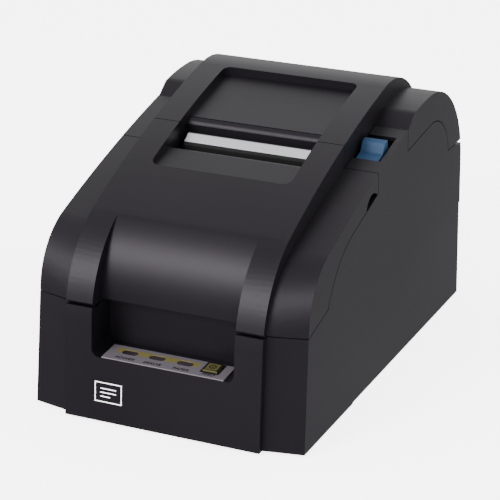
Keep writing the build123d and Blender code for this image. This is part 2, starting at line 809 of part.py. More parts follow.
def tear_bar():
    """Steel strip with a row of fine teeth along its upper edge."""
    run = apart(tear_foot, tear_tip)
    tooth = 1.6
    count = int(2 * tear_half / tooth)
    start = -count * tooth / 2
    points = [(start, 0)]
    for i in range(count):
        points.append((start + i * tooth, run - 0.9))
        points.append((start + (i + 0.5) * tooth, run))
    points.append((start + count * tooth, run - 0.9))
    points.append((start + count * tooth, 0))
    blade = extrude(make_face(Polyline(*points, close=True)), 0.9)
    lean = math.atan2(tear_tip[1] - tear_foot[1], tear_tip[0] - tear_foot[0])
    plane = Plane(origin=(0, *tear_foot), x_dir=(1, 0, 0), z_dir=(0, -math.sin(lean), math.cos(lean)))
    return plane * Pos(0, 0, -0.9) * blade


def paper_guide():
    """Carrier under the tear bar, hung from the side plates by its arms."""
    foot, tip = tear_foot, tear_tip
    lean = math.atan2(tip[1] - foot[1], tip[0] - foot[0])
    down = (math.sin(lean) * 0.9, -math.cos(lean) * 0.9)
    a = (foot[0] + down[0] - 1.5, foot[1] + down[1] - 0.9)
    b = (tip[0] + down[0] - 1.2 * math.cos(lean), tip[1] + down[1] - 1.2 * math.sin(lean))
    outline = Polyline(a, b, (b[0], roller_z + 2.0), (b[0] - 3.0, roller_z + 2.0),
                       (a[0], a[1] - 6.0), close=True)
    body = across(make_face(outline), -tear_half, tear_half)
    arm_z = slot_z - wall - 3.0
    arm = block(-mech_half, mech_half, a[0] + 0.5, b[0] - 0.5, arm_z - 4.0, arm_z)
    return body + arm - tear_bar()


# ---- print mechanism ----
def gear(teeth, width_x, bore, phase=0.0):
    """A spur gear about X with straight-sided involute-like teeth; phase in degrees."""
    pitch_r = gear_module * teeth / 2
    tip_r, root_r = pitch_r + gear_module * 0.9, pitch_r - gear_module * 1.15
    pitch = 360.0 / teeth
    flank = pitch / 4 - math.degrees(backlash / 2 / pitch_r)
    pressure = math.radians(20)
    tip_half = flank - math.degrees((tip_r - pitch_r) * math.tan(pressure) / pitch_r)
    root_half = flank + math.degrees((pitch_r - root_r) * math.tan(pressure) / pitch_r)
    points = []
    for i in range(teeth):
        centre = phase + i * pitch
        for r, offset_deg in ((root_r, -root_half), (tip_r, -tip_half),
                              (tip_r, tip_half), (root_r, root_half)):
            points.append(at_angle((0, 0), r, centre + offset_deg))
    wheel = extrude(Plane.YZ * make_face(Polyline(*points, close=True)), width_x)
    return wheel - Rot(0, 90, 0) * Cylinder(bore, width_x * 3)


def next_phase(phase, teeth, angle, other_teeth):
    """Phase of a gear whose teeth fill the gaps of the gear that it meets at angle."""
    shift = ((angle - phase) * teeth / 360.0) % 1.0
    return angle + 180.0 - (0.5 - shift) * 360.0 / other_teeth


gear_x = -mech_half - plate_t - 1.0 - gear_width
idler_reach = gear_module * (roller_teeth + idler_teeth) / 2 + mesh_gap
idler_at = at_angle((roller_y, roller_z), idler_reach, idler_angle)
pinion_at = at_angle(idler_at, gear_module * (idler_teeth + pinion_teeth) / 2 + mesh_gap, pinion_angle)
idler_phase = next_phase(0.0, roller_teeth, idler_angle, idler_teeth)
pinion_phase = next_phase(idler_phase, idler_teeth, pinion_angle, pinion_teeth)


def side_plate(side):
    """Steel plate that carries the shafts; side is -1 or 1."""
    crown = slot_z - wall - 0.8
    outline = Polyline((plate_front_y, chassis_top), (plate_rear_y, chassis_top),
                       (plate_rear_y, crown - 2.0),
                       (roller_y - 16.0, crown), (lip_y - 20.0, crown - 6.0), (plate_front_y + 4.0, 96.0),
                       (plate_front_y, 90.0), close=True)
    x = side * (mech_half + plate_t / 2)
    plate = across(make_face(outline), x - plate_t / 2, x + plate_t / 2)
    reach = x + side * plate_flange
    foot = block(min(x, reach), max(x, reach), plate_front_y + 6.0, plate_rear_y - 6.0,
                 chassis_top, chassis_top + plate_t)
    plate += foot
    for y, z, r in ((roller_y, roller_z, roller_shaft_r + running_gap), (guide_y, guide_z, guide_r),
                    (rail_y, rail_z, guide_r - 0.8)):
        plate -= rod_x(r, x - 2, x + 2, y, z)
    plate -= rod_x(9.0, x - 2, x + 2, plate_front_y + 24.0, 36.0)
    if side < 0:
        plate -= rod_x(motor_shaft_r + 3.0, x - 2, x + 2, *pinion_at)
    return plate


def idler_stud():
    return rod_x(2.0, gear_x - 0.5, -mech_half - plate_t, *idler_at)


def feed_motor():
    """Stepper motor inside the left side plate, with its flange against the plate."""
    y, z = pinion_at
    r = feed_motor_r
    body = rod_x(r, -mech_half + 1.2, -mech_half + 17.0, y, z)
    flange = block(-mech_half, -mech_half + 1.2, y - r - 2, y + r + 2, z - r, z + r)
    boss = rod_x(motor_shaft_r + 2.5, -mech_half - plate_t, -mech_half, y, z)
    return body + flange + boss - rod_x(motor_shaft_r + running_gap, -mech_half - 5, -mech_half + 12, y, z)


def motor_pinion():
    shaft = rod_x(motor_shaft_r, gear_x, -mech_half + 10.0, *pinion_at)
    return Pos(gear_x, *pinion_at) * gear(pinion_teeth, gear_width, 0.5, pinion_phase) + shaft


def idler_gear():
    return Pos(gear_x, *idler_at) * gear(idler_teeth, gear_width, 2.0 + running_gap, idler_phase)


def roller_gear():
    return Pos(gear_x, roller_y, roller_z) * gear(roller_teeth, gear_width, roller_shaft_r)


def feed_roller():
    return rod_x(roller_r, -mech_half + 4, mech_half - 4, roller_y, roller_z) - rod_x(
        roller_shaft_r, -mech_half, mech_half, roller_y, roller_z)


def roller_shaft():
    return rod_x(roller_shaft_r, gear_x - 0.5, mech_half + plate_t + 2.0, roller_y, roller_z)


def platen_bar():
    """Fixed anvil behind the paper, where the head strikes."""
    y0 = roller_y - roller_r - 1.0
    return block(-mech_half, mech_half, y0, y0 + 8.0, *platen_z)


def guide_shaft():
    return rod_x(guide_r, -mech_half - plate_t, mech_half + plate_t, guide_y, guide_z)


def carriage_rail():
    return rod_x(guide_r - 0.8, -mech_half - plate_t, mech_half + plate_t, rail_y, rail_z)


def carriage():
    """Sliding carriage: a long bush on the guide shaft and a shoe on the front rail."""
    c = carriage_half
    body = block(-c, c, guide_y - 7.0, guide_y + 9.0, guide_z - 6.0, guide_z + 10.0)
    body += block(-c + 3, c - 3, guide_y + 9.0, rail_y + 5.0, rail_z + 4.0, rail_z + 9.0)
    body += block(-c + 3, c - 3, guide_y + 4.0, guide_y + 9.0, rail_z + 4.0, guide_z)
    body += block(-c + 3, c - 3, rail_y - 5.0, rail_y - 3.0, rail_z - 3.0, rail_z + 9.0)
    body -= rod_x(guide_r + running_gap, -width, width, guide_y, guide_z)
    clip = block(-5.0, 5.0, belt_y + belt_t + 0.4, guide_y - 5.0, belt_z - 2.0, belt_z + 2.0)
    clip += block(-5.0, 5.0, guide_y - 7.0, guide_y - 4.0, belt_z - 2.0, guide_z)
    return body + clip


def print_head():
    """Nine-pin head on the carriage: finned coil body and a nose towards the platen."""
    y = guide_y + 9.0
    front = roller_y - roller_r - 1.0
    head = rod_y(9.0, 0, y + 0.0, y + 14.0, guide_z + 6.0)
    for i in range(3):
        head += rod_y(11.0, 0, y + 2.0 + i * 4.5, y + 4.0 + i * 4.5, guide_z + 6.0)
    head += block(-4.0, 4.0, y + 14.0, front - 2.2, guide_z + 2.0, guide_z + 8.0)
    return head & block(-12, 12, y, front, guide_z + 10.0 - 12.0, guide_z + 20.0)


def drive_belt():
    """Toothed belt round both pulleys, as a plain loop."""
    r = pulley_r + running_gap * 2
    outer = SlotCenterToCenter(2 * pulley_x, 2 * (r + belt_t))
    inner = SlotCenterToCenter(2 * pulley_x, 2 * r)
    return Pos(0, belt_y - pulley_r, belt_z - belt_width / 2) * extrude(outer - inner, belt_width)


def belt_pulley(side, long_shaft):
    x, y = side * pulley_x, belt_y - pulley_r
    wheel = rod_z(pulley_r, x, y, belt_z - belt_width / 2 - 0.5, belt_z + belt_width / 2 + 0.5)
    for i in (-1, 1):
        z = belt_z + i * (belt_width / 2 + 1.1)
        wheel += rod_z(pulley_r + 1.8, x, y, z - 0.6, z + 0.6)
    foot = belt_z - (16.0 if long_shaft else 9.0)
    return wheel + rod_z(2.0, x, y, foot, belt_z + belt_width / 2 + 1.7)


def carriage_motor():
    x, y = pulley_x, belt_y - pulley_r
    top = belt_z - belt_width / 2 - 4.0
    body = rod_z(motor_r, x - 4.0, y, chassis_top, top)
    return body - rod_z(2.0 + running_gap, x, y, top - 12.0, top + 1)


def idler_post():
    x, y = -pulley_x, belt_y - pulley_r
    top = belt_z - belt_width / 2 - 3.0
    post = rod_z(5.0, x, y, chassis_top, top)
    return post - rod_z(2.0 + running_gap, x, y, top - 8.0, top + 1)


def ribbon_cassette():
    """Cassette above the carriage: a tub with a waist, two arms and a knob well."""
    z0, z1 = guide_z + 23.0, guide_z + 35.0
    y0, y1 = plate_front_y + 8.0, guide_y + 14.0
    h = mech_half - 3.0
    tub = block(-h, h, y0, y1, z0, z1)
    tub = soften(tub, 4.0, lambda e: abs(e.center().Z - (z0 + z1) / 2) < 1 and e.length > 5)
    for side in (-1, 1):
        tub += block(side * h - (8 if side > 0 else 0), side * h + (8 if side < 0 else 0),
                     y1 - 4, y1 + 14, z0, z0 + 6)
    return tub - rod_z(7.0 + 0.3, -h + 16.0, y0 + 13.0, z1 - 4.0, z1 + 5) - rod_z(
        2.0 + running_gap, -h + 16.0, y0 + 13.0, z0 - 5, z1)


def ribbon_knob():
    h = mech_half - 3.0
    z0, z1 = guide_z + 23.0, guide_z + 35.0
    x, y = -h + 16.0, plate_front_y + 21.0
    knob = rod_z(6.5, x, y, z1 - 3.6, z1 + 1.4)
    knob -= Pos(x, y, z1 + 1.4) * Box(9.0, 2.0, 3.0)
    return knob + rod_z(2.0, x, y, z0 - 6.0, z1 - 3.0)


def mechanism_bridge():
    """Cross member between the side plates that seats the ribbon cassette."""
    z = guide_z + 23.0
    y0 = plate_front_y + 10.0
    bridge = block(-mech_half, mech_half, y0, y0 + 16.0, z - 1.5, z)
    return bridge - rod_z(2.6, -mech_half + 19.0, plate_front_y + 21.0, z - 5, z + 5)


# ---- paper bucket ----
def roll_bucket():
    """Half-round tray for the paper roll, with end cheeks and side webs to the housing."""
    inner = roll_r + bucket_gap
    outer = inner + bucket_t
    ring = Circle(outer) - Circle(inner)
    trough = ring - Pos(0, outer) * Rectangle(2 * outer + 2, 2 * outer)
    bucket = across(Pos(bucket_y, bucket_z) * trough, -bucket_half - bucket_t, bucket_half + bucket_t)
    cheek = (Circle(outer) - Pos(0, outer) * Rectangle(2 * outer + 2, 2 * outer)) - Circle(inner / 2)
    bucket += both_sides(across(Pos(bucket_y, bucket_z) * cheek, bucket_half, bucket_half + bucket_t))
    for y, leg_y in ((bucket_y - outer + 1.0, 0.0), (bucket_y + outer - 13.0, 0.0)):
        arm = block(bucket_half, band_half + 6.0, y, y + 8.0, bucket_z - bucket_t, bucket_z)
        leg = block(band_half + 2.5, band_half + 6.0, y + leg_y, y + leg_y + 4.0, chassis_top, bucket_z)
        bucket += both_sides(arm + leg)
    cut = rod_x(inner, -bucket_half, bucket_half, bucket_y, bucket_z)
    return bucket - cut


# ---- underside ----
def chassis_plan(gap):
    front = -panel_proud + wall * 2 + 2.0
    wide = block(-half + wall + gap, half - wall - gap, wall * 2 + gap, rear_y - wall - gap,
                 chassis_foot, chassis_top)
    nose = block(-band_half + wall + gap, band_half - wall - gap, front, 20.0,
                 chassis_foot, chassis_top)
    return wide + nose


def corner_spots(inset_x, inset_y):
    return [(x * (half - inset_x), y) for x in (-1, 1) for y in (inset_y, rear_y - inset_y)]


def chassis_plate():
    plate = chassis_plan(base_gap)
    for x, y in corner_spots(foot_inset_x, foot_inset_y):
        plate -= rod_z(3.0, x, y, -5, 10)
    for x, y in corner_spots(screw_inset_x, screw_inset_y):
        plate -= rod_z(screw_r + 0.2, x, y, -5, 10)
    for y in mount_ys:
        plate -= both_sides(rod_z(mount_hole_r, mount_x, y, -5, 10))
    return plate


def rubber_feet():
    feet = Part()
    for x, y in corner_spots(foot_inset_x, foot_inset_y):
        pad = rod_z(foot_r, x, y, -foot_drop, chassis_foot)
        pad += rod_z(2.9, x, y, chassis_foot, chassis_top + 0.4)
        pad += rod_z(3.6, x, y, chassis_top, chassis_top + 1.4)
        feet += pad
    return feet


def screw_bosses():
    """Bosses for the base plate's screws, each joined to its side wall."""
    bosses = Part()
    for x, y in corner_spots(screw_inset_x, screw_inset_y):
        wall_x = math.copysign(half - wall / 2, x)
        rib = block(min(x, wall_x), max(x, wall_x), y - 1.5, y + 1.5, chassis_top, boss_top)
        bosses += rod_z(boss_r, x, y, chassis_top, boss_top) + rib
        bosses -= rod_z(screw_r, x, y, 0, boss_top - 2.0)
    return bosses


def base_screws():
    screws = Part()
    foot = chassis_foot - 1.6
    for x, y in corner_spots(screw_inset_x, screw_inset_y):
        screw = rod_z(screw_r, x, y, chassis_foot, boss_top - 3.0)
        screw += rod_z(screw_head_r, x, y, foot, chassis_foot)
        screw -= Pos(x, y, foot) * Box(3.6, 0.8, 1.2)
        screws += screw - Pos(x, y, foot) * Box(0.8, 3.6, 1.2)
    return screws


def board_post_spots():
    return [(x, y) for x in (-board_half + post_inset, board_half - post_inset)
            for y in (board_front_y + post_inset, rear_y - board_rear_gap - post_inset)]


def main_board():
    top = board_z + board_t
    board = block(-board_half, board_half, board_front_y, rear_y - board_rear_gap, board_z, top)
    for x, y in board_post_spots():
        board -= rod_z(1.6, x, y, 0, 40)
    board += block(-20.0, -6.0, 170.0, 184.0, top, top + 2.6)
    board += block(12.0, 22.0, 176.0, 186.0, top, top + 2.2)
    for x in (-40.0, -32.0, 34.0):
        board += rod_z(3.5, x, 165.0, top, top + 9.0)
    return board


def board_posts():
    posts = Part()
    for x, y in board_post_spots():
        posts += rod_z(post_r, x, y, chassis_top, board_z)
        posts += rod_z(1.55, x, y, board_z, board_z + board_t + 1.2)
    return posts


def port_solid(name):
    x, wide, tall, deep = ports[name]
    z = board_z + board_t
    body = block(x - wide / 2, x + wide / 2, rear_y - deep, rear_y - 0.4, z, z + tall)
    if name == "power_inlet":
        body -= rod_y(4.4, x, rear_y - deep + 3, rear_y + 1, z + tall / 2)
    elif name == "drawer_port":
        body -= block(x - 4.8, x + 4.8, rear_y - deep + 3, rear_y + 1, z + 2.5, z + 9.2)
        body -= block(x - 2.0, x + 2.0, rear_y - deep + 3, rear_y + 1, z + 1.2, z + 9.2)
    else:
        body -= block(x - 13.0, x + 13.0, rear_y - deep + 3, rear_y + 1, z + 1.6, z + 9.4)
        body += block(x - 11.5, x + 11.5, rear_y - deep + 2, rear_y - 3.0, z + 3.6, z + 7.4)
        for side in (-1, 1):
            body += rod_y(1.6, x + side * 15.6, rear_y - 1.0, rear_y + 0.0, z + tall / 2)
    return body


def port_openings():
    z = board_z + board_t
    holes = Part()
    for x, wide, tall, _deep in ports.values():
        w, h = wide / 2 + port_fit, tall + port_fit
        holes += block(x - w, x + w, rear_y - wall - 1, rear_y + 1, z - port_fit, z + h)
    return holes


def switch_box(grow, x0, x1):
    """A block as large as the switch and a margin, from x0 to x1."""
    long_y, tall = switch_size
    return block(x0, x1, switch_y - long_y / 2 - grow, switch_y + long_y / 2 + grow,
                 switch_z - tall / 2 - grow, switch_z + tall / 2 + grow)


def switch_face():
    """Where the left wall's face is at the switch's height."""
    return -half + side_lean * switch_z / dome_top


def rocker_pivot():
    return (switch_face() + rocker_in, switch_y)


def switch_body():
    x = switch_face()
    body = switch_box(bezel, x - switch_proud, x + bezel_in) + switch_box(0, x - switch_proud, x + 12.0)
    body -= switch_box(-1.2, x - 2.0, x + 9.0)
    return body - rod_z(1.0 + running_gap, *rocker_pivot(), switch_z - switch_size[1] / 2 - 1,
                        switch_z + switch_size[1] / 2 + 1)


def switch_rocker():
    long_y, tall = switch_size
    x, y = rocker_pivot()
    h = long_y / 2 - 1.7
    outline = Polyline((x + 2.5, y - 4.0), (x + 2.5, y + 4.0), (x - 3.2, y + h), (x - 4.0, y),
                       (x - 3.2, y - h), close=True)
    rocker = Pos(0, 0, switch_z - tall / 2 + 1.6) * extrude(make_face(outline), tall - 3.2)
    return rocker + rod_z(1.0, x, y, switch_z - tall / 2 + 0.2, switch_z + tall / 2 - 0.2)


# ---- write every piece ----
def write(name, shape):
    solids = [Pos(0, -middle_y, foot_drop) * solid for solid in shape.solids()]
    out = solids[0] if len(solids) == 1 else Compound(solids)
    out.label = name
    export_step(out, os.path.join("parts", name + ".step"))


def row(y, z):
    """A place in the finished part's frame, in metres, for the record's joints."""
    return round((y - middle_y) / 1000, 5), round((z + foot_drop) / 1000, 5)


shell = body_shell()
case = housing(shell) + alcove_corners() - panel_openings() - port_openings() + screw_bosses()
case -= switch_box(switch_fit, -half - 5, -half + 15)
case -= switch_box(bezel + switch_fit, -half - 5, switch_face() + bezel_in)
write("housing", case)
write("front_cover", front_cover(shell))
write("rear_cover", rear_cover(shell))
write("front_hinge_pins", hinge_pins(front_pivot, front_ear_x))
write("rear_hinge_pins", hinge_pins(rear_pivot, rear_ear_x))
write("panel_label", panel_label())
write("led_lenses", led_lenses())
write("feed_button", feed_button())
write("panel_board", panel_board())
write("release_lever", lever_solid())
write("lever_bracket", lever_bracket())
write("lever_pin", lever_pin())
write("tear_bar", tear_bar())
write("paper_guide", paper_guide())
write("side_plate_left", side_plate(-1))
write("side_plate_right", side_plate(1))
write("feed_roller", feed_roller())
write("roller_shaft", roller_shaft())
write("roller_gear", roller_gear())
write("idler_gear", idler_gear())
write("idler_stud", idler_stud())
write("feed_motor", feed_motor())
write("motor_pinion", motor_pinion())
write("platen_bar", platen_bar())
write("guide_shaft", guide_shaft())
write("carriage_rail", carriage_rail())
write("carriage", carriage())
write("print_head", print_head())
write("drive_belt", drive_belt())
write("drive_pulley", belt_pulley(1, True))
write("idler_pulley", belt_pulley(-1, False))
write("carriage_motor", carriage_motor())
write("idler_post", idler_post())
write("ribbon_cassette", ribbon_cassette())
write("ribbon_knob", ribbon_knob())
write("mechanism_bridge", mechanism_bridge())
write("roll_bucket", roll_bucket())
write("chassis_plate", chassis_plate())
write("rubber_feet", rubber_feet())
write("base_screws", base_screws())
write("main_board", main_board())
write("board_posts", board_posts())
for port in ports:
    write(port, port_solid(port))
write("switch_body", switch_body())
write("switch_rocker", switch_rocker())

for name, place in (("front cover hinge", front_pivot), ("rear cover hinge", rear_pivot),
                    ("lever", lever_pivot), ("roller", (roller_y, roller_z)), ("idler", idler_at),
                    ("pinion", pinion_at), ("belt pulleys", (belt_y - pulley_r, belt_z)),
                    ("rocker", (switch_y, switch_z)), ("ribbon knob", (plate_front_y + 21.0, 0))):
    print(name, row(*place))
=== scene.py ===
import json
import math
import bmesh
import bpy
from mathutils import Matrix, Vector

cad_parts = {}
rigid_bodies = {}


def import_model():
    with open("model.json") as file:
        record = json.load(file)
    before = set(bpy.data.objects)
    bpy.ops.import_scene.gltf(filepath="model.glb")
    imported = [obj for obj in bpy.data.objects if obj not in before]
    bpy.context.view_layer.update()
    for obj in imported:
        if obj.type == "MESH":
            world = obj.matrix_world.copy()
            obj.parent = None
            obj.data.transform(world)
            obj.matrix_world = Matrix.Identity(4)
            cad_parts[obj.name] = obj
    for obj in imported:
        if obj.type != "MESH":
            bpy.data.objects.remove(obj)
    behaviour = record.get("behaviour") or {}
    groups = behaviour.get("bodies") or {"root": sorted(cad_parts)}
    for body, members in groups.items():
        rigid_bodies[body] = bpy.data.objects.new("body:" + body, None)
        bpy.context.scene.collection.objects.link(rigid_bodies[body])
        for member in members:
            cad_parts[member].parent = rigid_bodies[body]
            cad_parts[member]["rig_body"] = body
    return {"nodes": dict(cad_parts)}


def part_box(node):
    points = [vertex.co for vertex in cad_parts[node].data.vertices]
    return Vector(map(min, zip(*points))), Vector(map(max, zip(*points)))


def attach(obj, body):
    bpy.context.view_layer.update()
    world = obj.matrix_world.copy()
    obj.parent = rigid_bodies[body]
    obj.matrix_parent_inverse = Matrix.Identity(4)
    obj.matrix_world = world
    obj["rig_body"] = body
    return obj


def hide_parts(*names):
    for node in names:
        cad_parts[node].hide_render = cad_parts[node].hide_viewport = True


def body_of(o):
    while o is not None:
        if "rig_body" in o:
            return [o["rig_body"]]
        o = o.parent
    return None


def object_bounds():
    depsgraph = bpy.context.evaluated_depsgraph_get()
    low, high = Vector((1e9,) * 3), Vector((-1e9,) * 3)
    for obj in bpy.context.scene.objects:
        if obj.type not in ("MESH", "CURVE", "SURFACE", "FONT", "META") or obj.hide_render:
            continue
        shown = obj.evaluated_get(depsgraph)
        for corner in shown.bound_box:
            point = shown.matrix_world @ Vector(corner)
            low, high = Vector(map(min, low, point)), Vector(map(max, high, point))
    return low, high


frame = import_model()
cadLow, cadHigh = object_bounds()
nodes = frame["nodes"]
mm = 0.001
print("frame loaded:", len(nodes), "nodes")


class Wire:
    # a socket that can be added, multiplied and compared
    def __init__(self, owner, socket):
        self.owner, self.socket = owner, socket

    def math(self, operation, *values):
        return self.owner.add("ShaderNodeMath", {"operation": operation}, dict(enumerate(values)))

    def __add__(self, other):
        return self.math("ADD", self, other)

    def __radd__(self, other):
        return self.math("ADD", other, self)

    def __sub__(self, other):
        return self.math("SUBTRACT", self, other)

    def __rsub__(self, other):
        return self.math("SUBTRACT", other, self)

    def __mul__(self, other):
        return self.math("MULTIPLY", self, other)

    def __rmul__(self, other):
        return self.math("MULTIPLY", other, self)

    def __lt__(self, other):
        return self.math("LESS_THAN", self, other)

    def __gt__(self, other):
        return self.math("GREATER_THAN", self, other)

    def abs(self):
        return self.math("ABSOLUTE", self)

    def fract(self):
        return self.math("FRACT", self)

    def most(self, other):
        return self.math("MAXIMUM", self, other)


class Nodes:
    # a node tree and the way to add to it
    def __init__(self, tree):
        self.tree = tree

    def join(self, value, socket):
        if isinstance(value, Wire):
            self.tree.links.new(value.socket, socket)
        else:
            socket.default_value = value

    def add(self, kind, settings=None, inputs=None, out=0):
        node = self.tree.nodes.new(kind)
        for key, value in (settings or {}).items():
            if key == "stops":
                fillRamp(node.color_ramp, value)
            else:
                setattr(node, key, value)
        for key, value in (inputs or {}).items():
            self.join(value, node.inputs[key])
        return Wire(self, node.outputs[out])

    def parts(self, vector):
        first = self.add("ShaderNodeSeparateXYZ", None, {0: vector})
        return [Wire(self, socket) for socket in first.socket.node.outputs]


def fillRamp(ramp, stops):
    while len(ramp.elements) < len(stops):
        ramp.elements.new(1.0)
    for element, (position, colour) in zip(ramp.elements, stops):
        element.position, element.color = position, (*colour, 1)


noiseMiddle = (0.3, 0.7)  # most of a noise lies between these


class Paint(Nodes):
    # one material
    def __init__(self, name, colour, roughness, **shader):
        self.mat = bpy.data.materials.new(name)
        self.mat.use_nodes = True
        super().__init__(self.mat.node_tree)
        self.surface = self.tree.nodes["Principled BSDF"]
        self.mat.diffuse_color = (*colour, 1)
        self.set("Base Color", (*colour, 1))
        self.set("Roughness", roughness)
        for key, value in shader.items():
            self.set(key, value)

    def set(self, key, value):
        self.join(value, self.surface.inputs[key])

    def place(self):
        return self.add("ShaderNodeTexCoord", out="Object")

    def stretched(self, scale):
        return self.add("ShaderNodeMapping", None, {"Vector": self.place(), "Scale": scale})

    def noise(self, scale, detail=2.0, rough=0.5, vector=None):
        return self.add("ShaderNodeTexNoise", None, {
            "Vector": vector or self.place(), "Scale": scale, "Detail": detail, "Roughness": rough})

    def spread(self, noise, first, second):
        return self.add("ShaderNodeMapRange", None, {
            "Value": noise, "From Min": noiseMiddle[0], "From Max": noiseMiddle[1],
            "To Min": first, "To Max": second})

    def blend(self, factor, first, second):
        first, second = (c if isinstance(c, Wire) else (*c, 1) for c in (first, second))
        return self.add("ShaderNodeMix", {"data_type": "RGBA"}, {0: factor, 6: first, 7: second}, 2)

    def bump(self, height, strength, distance):
        return self.add("ShaderNodeBump", None, {
            "Height": height, "Strength": strength, "Distance": distance})

    def gloss(self, noise, roughness, smoother, rougher):
        self.set("Roughness", self.spread(noise, roughness - smoother, roughness + rougher))


moulded = {"grain": 0.42 * mm, "detail": 3.0, "rough": 0.6, "drift": 9.0, "gloss": (0.05, 0.06), "pits": 0.35}


def texturedPlastic(name, colour, roughness, depth=0.05, lift=0.25, sheen=0.5, tint=(1, 1, 1)):
    # fine pits, a slow drift of tone and a slightly uneven gloss
    paint = Paint(name, colour, roughness, **{"Specular IOR Level": sheen, "Specular Tint": (*tint, 1)})
    pits = paint.noise(1 / moulded["grain"], moulded["detail"], moulded["rough"])
    drift = paint.noise(moulded["drift"])
    dark, light = (tuple(c * share for c in colour) for share in (1 - lift, 1 + lift))
    paint.set("Base Color", paint.blend(paint.spread(drift, 0.0, 1.0), dark, light))
    paint.gloss(pits, roughness, *moulded["gloss"])
    paint.set("Normal", paint.bump(pits, moulded["pits"], depth * mm))
    return paint


drawn = {"along": (1, 60, 60), "scale": 60.0, "detail": 4.0, "rough": 0.6, "gloss": (0.08, 0.1),
         "lines": 0.15, "depth": 0.02 * mm}


def turnedMetal(name, colour, roughness):
    # fine drawn lines across the printer
    paint = Paint(name, colour, roughness, Metallic=1.0)
    lines = paint.noise(drawn["scale"], drawn["detail"], drawn["rough"], paint.stretched(drawn["along"]))
    paint.gloss(lines, roughness, *drawn["gloss"])
    paint.set("Normal", paint.bump(lines, drawn["lines"], drawn["depth"]))
    return paint


rubber = {"scale": 1800.0, "detail": 3.0, "gloss": (0.06, 0.06), "grain": 0.4, "depth": 0.05 * mm}


def softRubber(name, colour, roughness):
    paint = Paint(name, colour, roughness)
    grain = paint.noise(rubber["scale"], rubber["detail"])
    paint.gloss(grain, roughness, *rubber["gloss"])
    paint.set("Normal", paint.bump(grain, rubber["grain"], rubber["depth"]))
    return paint


lacquer = {"gloss": 0.35, "rows": 420.0, "rowHalf": 0.16, "columns": 300.0, "columnHalf": 0.12,
           "bend": 120.0, "columnShare": 0.52, "lighter": 2.2, "raise": 0.3, "depth": 0.04 * mm}


def circuitBoard(name, colour):
    # green lacquer over copper tracks that run both ways
    paint = Paint(name, colour, lacquer["gloss"])
    x, y, _z = paint.parts(paint.place())
    bend = paint.noise(lacquer["bend"], 1.0)
    rows = ((y * lacquer["rows"] + bend).fract() - 0.5).abs() < lacquer["rowHalf"]
    columns = ((x * lacquer["columns"]).fract() - 0.5).abs() < lacquer["columnHalf"]
    tracks = rows.most(columns * (bend > lacquer["columnShare"]))
    paint.set("Base Color", paint.blend(tracks, colour, tuple(c * lacquer["lighter"] for c in colour)))
    paint.set("Normal", paint.bump(tracks, lacquer["raise"], lacquer["depth"]))
    return paint


finishes = {
    "case": texturedPlastic("case", (0.0030, 0.0025, 0.0035), 0.42, sheen=0.17, tint=(1.0, 0.92, 1.04)),
    "caseInner": texturedPlastic("caseInner", (0.006, 0.006, 0.006), 0.55, sheen=0.15),
    "lever": texturedPlastic("lever", (0.010, 0.032, 0.072), 0.5, lift=0.08, sheen=0.15),
    "lens": Paint("lens", (0.012, 0.007, 0.010), 0.18, **{"Coat Weight": 0.6}),
    "button": texturedPlastic("button", (0.060, 0.055, 0.018), 0.5, lift=0.08, sheen=0.2),
    "print": Paint("print", (0.003, 0.003, 0.004), 0.7, **{"Specular IOR Level": 0.1}),
    "mark": Paint("mark", (0.78, 0.78, 0.80), 0.5),
    "steel": turnedMetal("steel", (0.50, 0.50, 0.51), 0.36),
    "brightSteel": turnedMetal("brightSteel", (0.62, 0.62, 0.65), 0.32),
    "alloy": turnedMetal("alloy", (0.35, 0.35, 0.37), 0.45),
    "motor": texturedPlastic("motor", (0.05, 0.05, 0.055), 0.35),
    "roller": softRubber("roller", (0.025, 0.025, 0.026), 0.75),
    "gear": texturedPlastic("gear", (0.62, 0.60, 0.54), 0.42, lift=0.04),
    "brass": turnedMetal("brass", (0.60, 0.43, 0.18), 0.32),
    "belt": softRubber("belt", (0.02, 0.02, 0.02), 0.7),
    "knob": texturedPlastic("knob", (0.16, 0.17, 0.19), 0.45),
    "base": turnedMetal("base", (0.22, 0.22, 0.23), 0.5),
    "feet": softRubber("feet", (0.02, 0.02, 0.02), 0.8),
    "board": circuitBoard("board", (0.01, 0.09, 0.035)),
    "glossBlack": texturedPlastic("glossBlack", (0.014, 0.014, 0.015), 0.2, depth=0.01),
}
print("finishes made:", len(finishes))

newSharp = 40  # edges of new pieces turn sharp past this many degrees
copied = {"merge": 0.002 * mm, "flat": math.radians(0.3), "sharp": 30}


def paintOf(finish):
    return (finish if isinstance(finish, Paint) else finishes[finish]).mat


def shade(mesh, angle):
    for face in mesh.polygons:
        face.use_smooth = True
    mesh.set_sharp_from_angle(angle=math.radians(angle))


def finished(name, bm, finish, sharp):
    mesh = bpy.data.meshes.new(name)
    bm.to_mesh(mesh)
    bm.free()
    mesh.materials.clear()
    mesh.materials.append(paintOf(finish))
    piece = bpy.data.objects.new(name, mesh)
    bpy.context.scene.collection.objects.link(piece)
    shade(mesh, sharp)
    return piece


def newPiece(name, bm, finish, body="body"):
    # a finished mesh at the origin, riding on its body
    bmesh.ops.recalc_face_normals(bm, faces=bm.faces)
    piece = finished(name, bm, finish, newSharp)
    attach(piece, body)
    return piece


